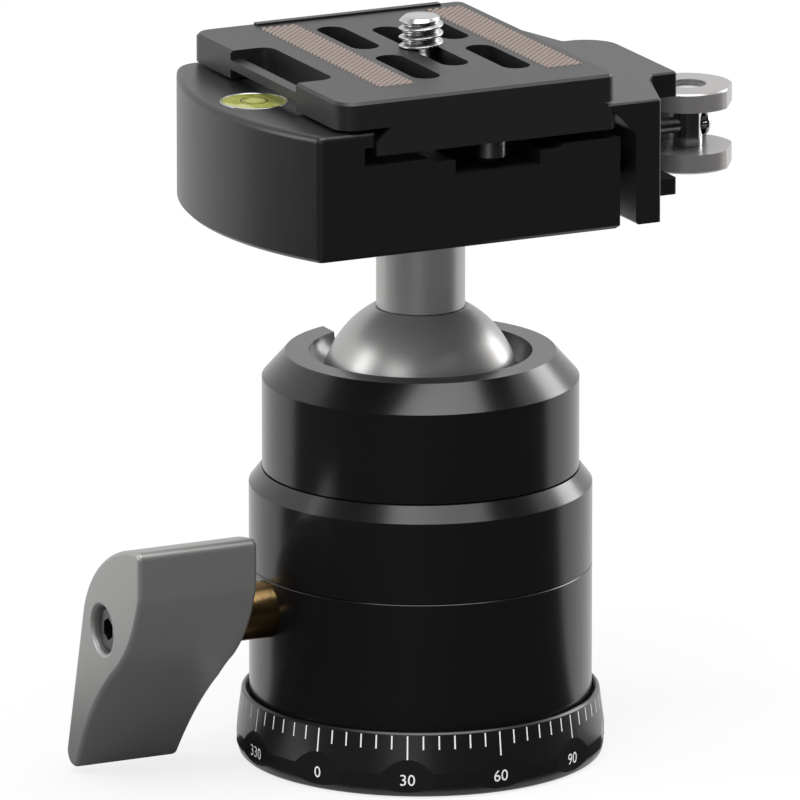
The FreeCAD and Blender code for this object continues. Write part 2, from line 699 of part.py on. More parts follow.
# Main lock: brass spindle with an eccentric, and its wing knob

def lock_spindle():
    shaft = rod("spindle_shaft", "lock_r", "cam_left - spindle_x", ("spindle_x", "0", "lock_z"), X_AXIS)
    cam = rod("spindle_cam", "cam_r", "cam_right - cam_left", ("cam_left", "-cam_offset", "lock_z"), X_AXIS)
    tail = rod("spindle_tail", "tail_r", "tail_x - cam_right", ("cam_right", "0", "lock_z"), X_AXIS)
    whole = joined("spindle_whole", [shaft, cam, tail])
    hole = rod("spindle_tap", "knob_shank_r + run_gap", "knob_shank_x - spindle_x + 1",
               ("spindle_x - 0.5", "0", "lock_z"), X_AXIS)
    return node("lock_spindle", cut("spindle_cut", whole, hole))


def lock_knob():
    """Wing of teardrop section: a round back, a straight edge and a hollow edge down to the tip."""
    wing = new_body("lock_knob")
    outline = [
        ("-12.6", "36.7", "-1.2"), ("-11.3", "37.9", "-24"), ("0.6", "33.4", "-16"),
        ("6.5", "25.8"), ("12.3", "3.4", "-2.1"), ("9.0", "1.3", "42"),
        ("-5.0", "19.0", "-24"), ("-12.6", "31.2"),
    ]
    pad(wing, "YZ_Plane", [outline], "knob_in - knob_out", lift="knob_out")
    pocket(wing, "XZ_Plane", [[
        ("knob_in + 1", "15.0"), ("knob_in + 1", "-1"), ("knob_in - 3.0", "-1"), ("knob_in", "15.0")]],
        "60", both=True)
    bore = rod("knob_counterbore", "knob_bore_r", "knob_bore_deep", ("knob_out", "0", "lock_z"), X_AXIS)
    screw_way = rod("knob_screw_way", "knob_shank_r + 3 * run_gap", "18", ("knob_out", "0", "lock_z"), X_AXIS)
    socket = rod("knob_socket", "lock_r + hub_gap", "20", ("spindle_x - 0.1", "0", "lock_z"), X_AXIS)
    return node("lock_knob", cut("lock_knob_cut", wing, bore, screw_way, socket))


def knob_screw():
    start = "knob_out + knob_bore_deep - knob_screw_high"
    head = rod("knob_screw_head", "knob_screw_r", "knob_screw_high", (start, "0", "lock_z"), X_AXIS)
    shank = rod("knob_screw_shank", "knob_shank_r", f"knob_shank_x - ({start})", (start, "0", "lock_z"), X_AXIS)
    key = hexagon("knob_screw_key", "knob_screw_r", "knob_screw_high * 0.7", (start, "0", "lock_z"), X_AXIS)
    return node("knob_screw", cut("knob_screw_cut", joined("knob_screw_body", [head, shank]), key))


# Ball, cup and stem

def ball_cup():
    shell = cut("ball_cup_shell", globe("cup_outside", "cup_r"), globe("cup_inside", "ball_r + ball_gap"))
    above = block("ball_cup_above", (TALL, TALL, TALL), ("-30", "-30", "cup_rim_z"))
    hole = rod("ball_cup_hole", "cup_hole_r", TALL, ("0", "0", "0"))
    return node("ball_cup", cut("ball_cup_cut", shell, above, hole))


def ball():
    above = block("ball_above", (TALL, TALL, TALL), ("-30", "-30", "ball_flat_z"))
    socket = rod("ball_socket", "stem_pin_r + run_gap", TALL, ("0", "0", "stem_pin_low - 0.2"))
    return node("ball", cut("ball_cut", globe("ball_globe", "ball_r"), above, socket))


def stem():
    post = turned("stem", [
        ("0", "stem_pin_low"), ("stem_pin_r", "stem_pin_low"), ("stem_pin_r", "stem_low"),
        ("stem_r", "stem_low"), ("stem_r", "stem_top"), ("0", "stem_top")])
    tap = rod("stem_tap", "clamp_screw_r + run_gap", TALL, ("0", "0", "clamp_screw_low - 0.5"))
    return node("stem", cut("stem_cut", post, tap))


# Clamp

def clamp_body():
    body = new_body("clamp")
    pad(body, "XY_Plane", [[
        ("clamp_front_x", "-clamp_half"), ("clamp_end_x", "-clamp_half"), ("clamp_end_x", "clamp_back"),
        ("clamp_back_x", "clamp_back", "clamp_bow_r")]], "clamp_top - clamp_low", lift="clamp_low")
    for size, sign in (("clamp_front_r", -1), ("clamp_back_r", 1)):
        soften(body, "Fillet", size, lambda edge: (upright(edge) and edge.BoundBox.XMin < 0
                                                   and edge.BoundBox.YMin * sign > 0))
    soften(body, "Chamfer", "clamp_edge", level_at(value("clamp_low")))
    soften(body, "Fillet", "clamp_round", level_at(value("clamp_top")))
    pocket(body, "XZ_Plane", [[
        ("-tip_x", "clamp_top + 1"), ("-tip_x", "tip_z"), ("-flank_x", "flank_z"),
        ("-pocket_x", "flank_z"), ("-pocket_x", "floor_z"), ("-step_out", "floor_z"), ("-step_in", "step_z"),
        ("step_in", "step_z"), ("step_out", "floor_z"), ("clamp_end_x + 1", "floor_z"),
        ("clamp_end_x + 1", "clamp_top + 1")]], "120", both=True)
    for side, end in (("-", "-clamp_half"), ("", "clamp_back")):
        pocket(body, "XY_Plane", [rectangle("-groove_half", "groove_half", f"{side}land_half", f"{end} * 1.1")],
               "step_z - groove_z", lift="step_z")
        pocket(body, "XY_Plane", [[
            ("-tip_x - lead_in", f"{end} * 1.001"), ("-tip_x - lead_in", end),
            ("-tip_x", f"{end} - ({side}lead_in)"), ("-tip_x + 1", f"{end} * 1.001")]],
            "clamp_top - flank_z", lift="clamp_top + 0.1")
    tools = [
        rod("level_pocket", "level_r + run_gap", TALL, ("level_x", "level_y", "level_low - run_gap")),
        rod("clamp_screw_way", "clamp_screw_r + 3 * run_gap", TALL, ("0", "0", "clamp_low - 1")),
        rod("clamp_head_well", "clamp_head_r + 4 * run_gap", TALL, ("0", "0", "clamp_head_low - run_gap")),
        rod("rod_tap", "rod_r + run_gap", TALL, ("rod_in - 0.5", "0", "rod_z"), X_AXIS),
    ]
    for name, side in (("front", "-"), ("back", "")):
        tools.append(rod(f"pin_seat_{name}", "pin_r + hub_gap", TALL, ("pin_in", f"{side}pin_y", "rod_z"), X_AXIS))
    return node("clamp_body", cut("clamp_cut", body, *tools))


def clamp_screw():
    head = rod("clamp_screw_head", "clamp_head_r", "clamp_head_top - clamp_head_low", ("0", "0", "clamp_head_low"))
    shank = rod("clamp_screw_shank", "clamp_screw_r", "clamp_head_low - clamp_screw_low", ("0", "0", "clamp_screw_low"))
    key = hexagon("clamp_screw_key", "clamp_hex", "3", ("0", "0", "clamp_head_top - 2.5"))
    return node("clamp_screw", cut("clamp_screw_cut", joined("clamp_screw_body", [head, shank]), key))


def level_vial():
    return node("level_vial", rod("level_vial_disc", "level_r", "level_top - level_low",
                                  ("level_x", "level_y", "level_low")))


def guide_pins():
    pins = [rod(f"guide_pin_{name}", "pin_r", "pin_out - pin_in", ("pin_in", f"{side}pin_y", "rod_z"), X_AXIS)
            for name, side in (("front", "-"), ("back", ""))]
    return node("guide_pins", group("guide_pin_group", pins))


def tie_rod():
    return node("tie_rod", rod("tie_rod_bar", "rod_r", "rod_out - rod_in", ("rod_in", "0", "rod_z"), X_AXIS))


def tie_nut():
    """Domed nut, turned about Z from the barrel's far side and then laid along X."""
    start = "pivot_x + barrel_r + hub_gap"
    nut = turned("tie_nut", [
        ("rod_r + hub_gap", start), ("nut_r", start), ("nut_r", f"{start} + 0.35", "2.0"),
        ("0.4", "nut_out"), ("0", "nut_out"), ("0", "rod_out + hub_gap"), ("rod_r + hub_gap", "rod_out + hub_gap")])
    return node("tie_nut", place(nut, ("0", "0", "rod_z"), X_AXIS))


def cam_barrel():
    pin = rod("cam_barrel_pin", "barrel_r", "2 * (lever_half - cap_deep)",
              ("pivot_x", "0", "rod_z - lever_half + cap_deep"))
    way = rod("cam_barrel_way", "rod_r + hub_gap", "20", ("pivot_x - 10", "0", "rod_z"), X_AXIS)
    return node("cam_barrel", cut("cam_barrel_cut", pin, way))


# Moving jaw and lever

def moving_jaw():
    section = new_body("jaw_section")
    pad(section, "XZ_Plane", [[
        ("tip_x", "clamp_top"), ("tip_x", "tip_z"), ("flank_x", "flank_z"), ("pocket_x - 0.2", "jaw_lip_z + 0.9"),
        ("jaw_in", "jaw_lip_z"), ("jaw_in", "jaw_low + 0.4"), ("jaw_in + 0.4", "jaw_low"),
        ("jaw_out + 1", "jaw_low"), ("jaw_out + 1", "clamp_top")]], "2 * clamp_half", both=True)
    for start, end in (("-clamp_half", "-boss_half"), ("boss_half", "clamp_half")):
        pocket(section, "XY_Plane", [rectangle("jaw_wall_x", "jaw_out + 2", start, end)],
               "lug_top_z - lug_low_z", lift="lug_top_z")
    plan = new_body("jaw_plan")
    pad(plan, "XY_Plane", [[
        ("tip_x - 1", "-clamp_half"), ("jaw_end_x", "-clamp_half"), ("jaw_mid_x", "lug_front - 1.8"),
        ("jaw_mid_x + 1.2", "lug_front"), ("jaw_out", "lug_front"), ("jaw_out", "lug_back", "5.5"),
        ("jaw_mid_x - 1.0", "lug_back + 4.4"), ("jaw_end_x", "clamp_half"), ("tip_x - 1", "clamp_half")]],
        "clamp_top - jaw_low", lift="jaw_low")
    soften(plan, "Fillet", "clamp_edge", lambda edge: upright(edge) and edge.BoundBox.XMin > value("jaw_end_x") - 1)
    soften(plan, "Chamfer", "clamp_edge / 2", level_at(value("clamp_top")))
    both = doc.addObject("Part::Common", "jaw_common")
    both.Base = section
    both.Tool = plan
    tools = [rod("rod_way", "rod_r + 3 * run_gap", TALL, ("jaw_in - 5", "0", "rod_z"), X_AXIS)]
    for name, side in (("front", "-"), ("back", "")):
        tools.append(rod(f"pin_way_{name}", "pin_r + run_gap", "pin_out - jaw_in + 6",
                         ("jaw_in - 5", f"{side}pin_y", "rod_z"), X_AXIS))
    return node("moving_jaw", cut("jaw_cut", both, *tools))


def lever():
    """Two cam discs on the barrel, joined by an arm that lies along the jaw."""
    body = new_body("lever")
    pad(body, "XY_Plane", [round_loop("cam_disc_r", "cam_eye_x")], "2 * lever_half", lift="rod_z - lever_half")
    pad(body, "XY_Plane", [[
        ("36.6", "3.0"), ("44.6", "3.0"), ("43.0", "9.5", "-70"), ("40.0", "26.5", "2.2"),
        ("35.9", "25.8", "60"), ("37.4", "9.0")]],
        "2 * arm_half", lift="rod_z - arm_half")
    pocket(body, "XY_Plane", [rectangle("cam_eye_x - 8", "cam_eye_x + 8", "-8", "4.2")],
           "2 * (lever_half - cheek)", lift="rod_z + lever_half - cheek")
    soften(body, "Chamfer", "0.25", lambda edge: (level_at(value("rod_z + lever_half"))(edge)
                                                  or level_at(value("rod_z - lever_half"))(edge)))
    far = "cam_flat"
    flat = block("cam_flat_block", ("10", "30", TALL),
                 (f"cam_eye_x + {far} * cos(cam_flat_turn) + 15 * sin(cam_flat_turn)",
                  f"{far} * sin(cam_flat_turn) - 15 * cos(cam_flat_turn)", "rod_z - 30"))
    flat.Placement.Rotation = FreeCAD.Rotation(V(0, 0, 1), value("cam_flat_turn"))
    tools = [
        flat,
        rod("lever_eye", "barrel_r + run_gap", TALL, ("pivot_x", "0", "rod_z - 30")),
        rod("lever_clear", "eye_clear", "2 * (lever_half - cheek)", ("pivot_x", "0", "rod_z - lever_half + cheek")),
        rod("cap_recess_top", "cap_r", TALL, ("pivot_x", "0", "rod_z + lever_half - cap_deep")),
    ]
    return node("lever", cut("lever_cut", body, *tools))


# Plate

def camera_plate():
    plate = new_body("camera_plate")
    pad(plate, "XZ_Plane", [[
        ("-tail_half", "tail_low"), ("tail_half", "tail_low"), ("tail_half", "tail_side"),
        ("tail_half - flange_z + tail_side", "flange_z"), ("plate_right", "flange_z"),
        ("plate_right", "plate_top"), ("plate_left", "plate_top"), ("plate_left", "flange_z"),
        ("-tail_half + flange_z - tail_side", "flange_z"), ("-tail_half", "tail_side")]],
        "2 * plate_half", both=True)
    soften(plate, "Fillet", "plate_corner", lambda edge: upright(edge) and edge.BoundBox.XMin < -20)
    soften(plate, "Fillet", "plate_corner / 2", lambda edge: upright(edge) and edge.BoundBox.XMin > 10)
    soften(plate, "Chamfer", "plate_edge", level_at(value("plate_top")))
    side_slots = [slot(f"plate_mid_x {sign} slot_side", start, end, "slot_r")
                  for sign in "-+" for start, end in (("-slot_far", "-slot_near"), ("slot_back", "slot_end"))]
    middle = slot("plate_mid_x", "slot_mid_front", "slot_mid_back", "slot_r")
    pocket(plate, "XY_Plane", side_slots + [middle], "20", lift="plate_top")
    margin = "well_r - slot_r"
    pocket(plate, "XY_Plane", [slot("plate_mid_x", f"slot_mid_front - ({margin})",
                                    f"slot_mid_back + ({margin})", "well_r")],
           "well_z - tail_low", lift="well_z")
    strips = [rectangle(f"plate_mid_x {sign} strip_off - strip_half", f"plate_mid_x {sign} strip_off + strip_half",
                        "strip_front", "strip_back") for sign in "-+"]
    pocket(plate, "XY_Plane", strips, "strip_deep", lift="plate_top")
    pocket(plate, "XY_Plane", [[
        ("plate_left + strap_bar", "strap_front"), ("strap_in - strap_round", "strap_front", "strap_round"),
        ("strap_in", "strap_front + strap_round"), ("strap_in", "strap_back - strap_round", "strap_round"),
        ("strap_in - strap_round", "strap_back"), ("plate_left + strap_bar", "strap_back")]],
        "20", lift="plate_top")
    outside = rectangle("plate_left - 1", "plate_left + strap_bar + 1", "strap_front", "strap_back")
    pocket(plate, "XY_Plane", [outside], "plate_top - strap_bar_top", lift="plate_top")
    pocket(plate, "XY_Plane", [outside], "strap_bar_low - flange_z", lift="strap_bar_low")
    pad(plate, "XY_Plane", [rectangle("-ridge_half", "ridge_half", "plate_half - ridge_deep", "plate_half - plate_edge")],
        "ridge_high + 0.2", lift="plate_top - 0.2")
    holes = [rod(f"stop_hole_{name}", "stop_shank_r + hub_gap", "stop_shank_top - tail_low + 1.2",
                 ("0", f"{side}stop_y", "tail_low - 1")) for name, side in (("front", "-"), ("back", ""))]
    return node("camera_plate", cut("plate_cut", plate, *holes))


def grip_strips():
    """Two thin pads let into beds on the plate's top."""
    high = "strip_deep + strip_proud"
    strips = [block(f"grip_strip_{name}",
                    ("2 * strip_half - 2 * hub_gap", "strip_back - strip_front - 2 * hub_gap", high),
                    (f"plate_mid_x {sign} strip_off - strip_half + hub_gap", "strip_front + hub_gap",
                     "plate_top - strip_deep")) for name, sign in (("left", "-"), ("right", "+"))]
    return node("grip_strips", group("grip_strip_group", strips))


def stop_screws():
    screws = []
    for name, side in (("front", "-"), ("back", "")):
        place_y = f"{side}stop_y"
        head = rod(f"stop_head_{name}", "stop_r", "tail_low - run_gap - stop_low", ("0", place_y, "stop_low"))
        shank = rod(f"stop_shank_{name}", "stop_shank_r", "stop_shank_top - stop_low", ("0", place_y, "stop_low"))
        key = hexagon(f"stop_key_{name}", "stop_r", "1.3", ("0", place_y, "stop_low - 0.1"))
        screws.append(cut(f"stop_screw_{name}", joined(f"stop_body_{name}", [head, shank]), key))
    return node("stop_screws", group("stop_screw_group", screws))


def camera_screw():
    screw = turned("camera_screw", [
        ("0", "screw_head_low"), ("screw_head_r", "screw_head_low"), ("screw_head_r", "screw_head_top"),
        ("screw_neck_r", "screw_head_top"), ("screw_neck_r", "thread_low"), ("thread_r", "thread_low"),
        ("thread_r", "thread_top - thread_edge"), ("thread_r - thread_edge", "thread_top"), ("0", "thread_top")])
    key = hexagon("camera_screw_key", "4", "3", ("0", "0", "screw_head_low - 1"))
    solid = cut("camera_screw_cut", screw, key)
    return node("camera_screw", place(solid, ("plate_mid_x", "camera_y", "0")))


def screw_clip():
    ring = turned("screw_clip", [
        ("screw_neck_r + run_gap", "clip_low"), ("clip_r", "clip_low"), ("clip_r", "clip_top"),
        ("screw_neck_r + run_gap", "clip_top")])
    return node("screw_clip", place(ring, ("plate_mid_x", "camera_y", "0")))


for make in (scale_ring, base_plate, tripod_bush, pan_retainer, pan_screws, pan_washer,
             lower_body, upper_body, collar, seat_ring, pressure_piston, pan_shoe, pan_knob, pan_stud,
             lock_spindle, lock_knob, knob_screw, ball_cup, ball, stem, clamp_body, clamp_screw,
             level_vial, guide_pins, tie_rod, tie_nut, cam_barrel, moving_jaw, lever,
             camera_plate, grip_strips, stop_screws, camera_screw, screw_clip):
    make()
doc.recompute()

for thing in doc.Objects:
    if {"Invalid", "Error"} & set(thing.State):
        raise ValueError(f"{thing.Name} did not build: {thing.State}")
for name, thing in NODES.items():
    if thing.Shape.isNull() or not thing.Shape.isValid():
        raise ValueError(f"{name} has no valid shape")
    thing.Shape.exportStep(f"parts/{name}.step")
    print(f"{name:16s} solids {len(thing.Shape.Solids)} volume {thing.Shape.Volume:9.1f}")
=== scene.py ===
"""Looks of a tripod ball head: finishes, scale, threads, knurled grips, level and studio."""

import math

import bmesh
import bpy
import numpy as np
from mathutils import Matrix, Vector


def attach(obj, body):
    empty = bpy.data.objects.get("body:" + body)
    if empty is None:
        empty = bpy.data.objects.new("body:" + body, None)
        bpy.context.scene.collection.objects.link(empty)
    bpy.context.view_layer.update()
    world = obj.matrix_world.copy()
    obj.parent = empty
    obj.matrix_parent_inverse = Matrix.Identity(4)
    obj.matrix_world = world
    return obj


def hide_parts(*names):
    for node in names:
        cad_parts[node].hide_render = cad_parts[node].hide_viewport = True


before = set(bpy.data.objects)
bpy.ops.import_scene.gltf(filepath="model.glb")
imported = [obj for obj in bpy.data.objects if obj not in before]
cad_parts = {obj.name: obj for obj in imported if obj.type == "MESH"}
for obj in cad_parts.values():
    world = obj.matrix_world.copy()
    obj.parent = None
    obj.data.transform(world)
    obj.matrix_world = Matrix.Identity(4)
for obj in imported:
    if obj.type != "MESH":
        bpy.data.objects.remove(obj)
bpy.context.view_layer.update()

MM = 0.001
TURN = 2 * math.pi

# Scale ring, in millimetres and degrees; each end of its cone is a radius and a height
RING_RIM_Z = 9.1
RING_RIM_R = 25.77
CONE_TOP = (25.75, 9.25)
CONE_FOOT = (26.5, 3.6)
RING_SLOPE = (CONE_FOOT[0] - CONE_TOP[0]) / (CONE_TOP[1] - CONE_FOOT[1])
TICK_STEP = 5
LONG_TICK = 3.4
SHORT_TICK = 1.95
TICK_WIDTH = 0.21
ZERO_TURN = -150
NUMBER_STEP = 30
NUMBER_Z = 2.6
NUMBER_SIZE = 2.35
PAD_FLAT = 26.22
INK_LIFT = 0.02

# Camera screw and tripod thread
CAMERA_SCREW_AT = (1.0, 2.0)
CAMERA_PITCH = 1.27
CAMERA_CREST = 3.175
CAMERA_ROOT = 2.5
TRIPOD_PITCH = 1.5875
TRIPOD_CREST = 4.17
TRIPOD_ROOT = 4.76
TRIPOD_BUSH_R = 7.0
TRIPOD_BUSH_Z = 9.0
TRIPOD_EDGE = 0.2
TRIPOD_ROWS = 130
CAMERA_ROWS = 110
THREAD_STEPS = 72
THREAD_FLAT = 0.14
THREAD_LOW = 103.45
THREAD_TOP = 107.8
THREAD_EDGE = 0.75
THREAD_START = 0.02
THREAD_CAP_R = 1.2
SCREW_NECK_R = 1.95
SCREW_HEAD_R = 6.4
SCREW_HEAD_LOW = 96.0
SCREW_HEAD_TOP = 98.2
SCREW_HEAD_EDGE = 0.1
SCREW_SOCKET_R = 2.0
SCREW_SOCKET_Z = 97.2
POLE_R = 0.001

# Grip strips
KNURL_PITCH = 1.13
KNURL_SAMPLES = 10
KNURL_HIGH = 0.22
KNURL_MIDDLE = 0.4
KNURL_STEEP = 0.75
# Painted light on the grip: the dark bed colour is painted shade in the hollows, and the beige crest colour
# is a painted highlight on the tops
KNURL_SHADED_BED_COLOUR = (0.012, 0.011, 0.01, 1)
KNURL_LIT_CREST_COLOUR = (0.25, 0.2, 0.175, 1)
KNURL_SHADED_BED_TO = 0.22
KNURL_LIT_CREST_FROM = 0.4
PLATE_TOP = 103.3
STRIP_LIFT = 0.05
STRIP_TOP = PLATE_TOP + STRIP_LIFT
STRIP_FLOOR = 103.03
STRIP_PATCHES = ((-15.02, -9.38), (11.38, 17.02))
STRIP_Y = (-17.55, 21.75)

# Bubble level
LEVEL_AT = (-26.75, -1.05)
LEVEL_R = 4.9
LEVEL_TOP = 98.85
LEVEL_LENS_R = 4.65
LEVEL_DOME = 0.12
LEVEL_MARK_R = 1.9
LEVEL_MARK_WIDTH = 0.2
LEVEL_MARK_LIFT = 0.015
LEVEL_LIFT = 0.02
LENS_SAMPLES = 14
RIM_GAP = 0.02
RIM_DEEP = 0.6
RIM_SHOULDER = 0.06
RIM_HIGH = 0.1
RIM_OUTER_EDGE = 0.08
RIM_INNER_EDGE = 0.05
BUBBLE_R = 1.3
BUBBLE_HIGH = 0.08
BUBBLE_ASIDE = (0.3, 0.2)
BUBBLE_SAMPLES = 10


# Meshes

def new_piece(name, vertices, faces, material, body, smooth=True):
    """Mesh from vertices in millimetres, given its finish and the body it rides on."""
    mesh = bpy.data.meshes.new(name)
    mesh.from_pydata(np.asarray(vertices).reshape(-1, 3) * MM, [], np.asarray(faces).tolist())
    mesh.polygons.foreach_set("use_smooth", np.full(len(mesh.polygons), smooth))
    mesh.materials.append(material)
    mesh.update()
    piece = bpy.data.objects.new(name, mesh)
    bpy.context.scene.collection.objects.link(piece)
    if body:
        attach(piece, body)
    return piece


def grid_faces(rows, columns, wrap=False):
    """Quads between neighbouring grid points; with wrap the last column meets the first."""
    last = columns if wrap else columns - 1
    row, column = np.meshgrid(np.arange(rows - 1), np.arange(last), indexing="ij")
    beside = (column + 1) % columns
    corners = (row * columns + column, row * columns + beside,
               (row + 1) * columns + beside, (row + 1) * columns + column)
    return np.stack(corners, axis=-1).reshape(-1, 4)


def round_grid(radius, height, turns, centre=(0.0, 0.0)):
    """Point at (centre + radius times the cosine and sine of the turn, height) for each pair."""
    angle = TURN * turns
    return np.stack((centre[0] + radius * np.cos(angle), centre[1] + radius * np.sin(angle),
                     height + 0 * angle), axis=-1)


def lathe(name, profile, material, body, centre=(0.0, 0.0), steps=96):
    """Radius and height of each profile point carried once round the centre's upright axis."""
    radius, height = np.array(profile, dtype=float).T
    turns = np.arange(steps) / steps
    points = round_grid(radius[:, None], height[:, None], turns[None, :], centre)
    return new_piece(name, points, grid_faces(len(profile), steps, wrap=True), material, body)


def ridge(phase):
    """Thread form: rises and falls evenly over a pitch, with a flat crest and a flat root."""
    wave = np.abs(2 * (phase % 1) - 1)
    return np.clip((wave - THREAD_FLAT) / (1 - 2 * THREAD_FLAT), 0, 1)


def thread_radius(turns, height, pitch, root, crest):
    """Radius between root and crest by how far the height is along the helix at this turn."""
    return root + (crest - root) * ridge(height / pitch - turns)


# Finishes

GRAIN_DETAIL = 4
RELIEF_STRENGTH = 0.6


def finish(name, colour, metallic, roughness, spread=0.04, grain=0.6, bump=0.0):
    """Plain finish with a fine grain in its roughness and, where wanted, in its surface."""
    material = bpy.data.materials.new(name)
    material.use_nodes = True
    nodes, links = material.node_tree.nodes, material.node_tree.links
    shader = nodes["Principled BSDF"]
    shader.inputs["Base Color"].default_value = (*colour, 1)
    shader.inputs["Metallic"].default_value = metallic
    coordinates = nodes.new("ShaderNodeTexCoord")
    noise = nodes.new("ShaderNodeTexNoise")
    noise.inputs["Scale"].default_value = 1 / (grain * MM)
    noise.inputs["Detail"].default_value = GRAIN_DETAIL
    links.new(coordinates.outputs["Object"], noise.inputs["Vector"])
    span = nodes.new("ShaderNodeMapRange")
    span.inputs["To Min"].default_value = roughness - spread
    span.inputs["To Max"].default_value = roughness + spread
    links.new(noise.outputs["Fac"], span.inputs["Value"])
    links.new(span.outputs["Result"], shader.inputs["Roughness"])
    if bump:
        relief = nodes.new("ShaderNodeBump")
        relief.inputs["Strength"].default_value = RELIEF_STRENGTH
        relief.inputs["Distance"].default_value = bump * MM
        links.new(noise.outputs["Fac"], relief.inputs["Height"])
        links.new(relief.outputs["Normal"], shader.inputs["Normal"])
    return material


def knurl_finish():
    """Beige crests as a painted highlight over a dark bed as painted shade in the hollows, told apart by
    the piece's own crest attribute.
    """
    material = finish("knurled_grip_painted_light", (0.1, 0.1, 0.1), 0.0, 0.6, grain=0.3)
    nodes, links = material.node_tree.nodes, material.node_tree.links
    crest = nodes.new("ShaderNodeAttribute")
    crest.attribute_name = "crest"
    ramp = nodes.new("ShaderNodeValToRGB")
    ramp.color_ramp.elements[0].position = KNURL_SHADED_BED_TO
    ramp.color_ramp.elements[0].color = KNURL_SHADED_BED_COLOUR
    ramp.color_ramp.elements[1].position = KNURL_LIT_CREST_FROM
    ramp.color_ramp.elements[1].color = KNURL_LIT_CREST_COLOUR
    links.new(crest.outputs["Fac"], ramp.inputs["Fac"])
    links.new(ramp.outputs["Color"], nodes["Principled BSDF"].inputs["Base Color"])
    return material


def clear_finish():
    """Clear moulded lens."""
    material = finish("clear_lens", (1.0, 1.0, 1.0), 0.0, 0.05, spread=0.01)
    shader = material.node_tree.nodes["Principled BSDF"]
    shader.inputs["Transmission Weight"].default_value = 1.0
    shader.inputs["IOR"].default_value = 1.3
    return material


BLACK = finish("black_anodised", (0.006, 0.006, 0.007), 0.0, 0.22, spread=0.02, grain=0.5)
RING_BLACK = finish("scale_black", (0.008, 0.008, 0.009), 0.0, 0.3, spread=0.03, grain=0.4)
CLAMP_BLACK = finish("clamp_black", (0.008, 0.008, 0.009), 0.0, 0.36, spread=0.03, grain=0.25, bump=0.004)
PLATE_GREY = finish("plate_black", (0.011, 0.011, 0.012), 0.0, 0.42, spread=0.03, grain=0.22, bump=0.005)
BALL_GREY = finish("ball_grey", (0.42, 0.415, 0.41), 0.6, 0.36, spread=0.03, grain=0.2, bump=0.003)
TITANIUM = finish("knob_titanium", (0.33, 0.325, 0.32), 0.7, 0.42, spread=0.03, grain=0.16, bump=0.006)
LEVER_GREY = finish("lever_grey", (0.36, 0.35, 0.345), 0.6, 0.32, spread=0.03, grain=0.3)
STEEL = finish("steel", (0.5, 0.5, 0.51), 1.0, 0.28, spread=0.05, grain=0.3)
BRIGHT = finish("bright_steel", (0.72, 0.72, 0.73), 1.0, 0.14, spread=0.03, grain=0.4)
DARK_STEEL = finish("dark_steel", (0.12, 0.12, 0.12), 1.0, 0.35, spread=0.05, grain=0.3)
BRASS = finish("brass", (0.72, 0.47, 0.2), 1.0, 0.25, spread=0.015, grain=0.25)
POLYMER = finish("seat_polymer", (0.05, 0.05, 0.05), 0.0, 0.5)
INK = finish("white_ink", (0.78, 0.78, 0.78), 0.0, 0.6)
DARK_INK = finish("black_ink", (0.02, 0.02, 0.02), 0.0, 0.5)
FLUID = finish("level_fluid", (0.41, 0.43, 0.1), 0.0, 0.25)
BUBBLE = finish("level_bubble", (0.55, 0.58, 0.22), 0.0, 0.2)
LENS = clear_finish()
KNURL = knurl_finish()

NODE_FINISHES = {
    "scale_ring": RING_BLACK, "base_plate": RING_BLACK, "tripod_bush": STEEL, "pan_retainer": STEEL,
    "pan_screws": STEEL, "pan_washer": POLYMER, "lower_body": BLACK, "upper_body": BLACK,
    "collar": BLACK, "seat_ring": POLYMER, "pressure_piston": POLYMER, "pan_shoe": BRASS,
    "pan_knob": BLACK, "pan_stud": STEEL, "lock_spindle": BRASS, "lock_knob": TITANIUM,
    "knob_screw": DARK_STEEL, "ball_cup": POLYMER, "ball": BALL_GREY, "stem": BALL_GREY,
    "clamp_body": CLAMP_BLACK, "clamp_screw": DARK_STEEL, "level_vial": FLUID, "guide_pins": STEEL,
    "tie_rod": BRIGHT, "tie_nut": BRIGHT, "cam_barrel": BRIGHT, "moving_jaw": CLAMP_BLACK,
    "lever": LEVER_GREY, "camera_plate": PLATE_GREY, "grip_strips": KNURL, "stop_screws": STEEL,
    "camera_screw": STEEL, "screw_clip": STEEL,
}


def dress_nodes():
    """Give every CAD node the finish that its name has in the list."""
    for name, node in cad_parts.items():
        node.data.materials.clear()
        node.data.materials.append(NODE_FINISHES[name])


# Lock knob

KNOB_EDGE = 0.7
SHARP_ANGLE = math.radians(62)
FLAT_ANGLE = math.radians(0.4)


def rounded_knob():
    """The knob's own surface, merged, with its sharp edges rounded by one small radius all round."""
    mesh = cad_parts["lock_knob"].data.copy()
    shape = bmesh.new()
    shape.from_mesh(mesh)
    bmesh.ops.remove_doubles(shape, verts=shape.verts, dist=1e-6)
    bmesh.ops.dissolve_limit(shape, angle_limit=FLAT_ANGLE, verts=shape.verts, edges=shape.edges)
    shape.to_mesh(mesh)
    shape.free()
    mesh.shade_smooth()
    knob = bpy.data.objects.new("rounded_knob", mesh)
    bpy.context.scene.collection.objects.link(knob)
    edges = knob.modifiers.new("edges", "BEVEL")
    edges.width = KNOB_EDGE * MM
    edges.segments = 3
    edges.limit_method = "ANGLE"
    edges.angle_limit = SHARP_ANGLE
    normals = knob.modifiers.new("normals", "WEIGHTED_NORMAL")
    normals.weight = 90
    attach(knob, "main_lock")
    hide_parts("lock_knob")


# Scale on the base

def ring_radius(height):
    """Radius of the ring's cone, which widens evenly from the rim downwards."""
    return RING_RIM_R + RING_SLOPE * (RING_RIM_Z - height)


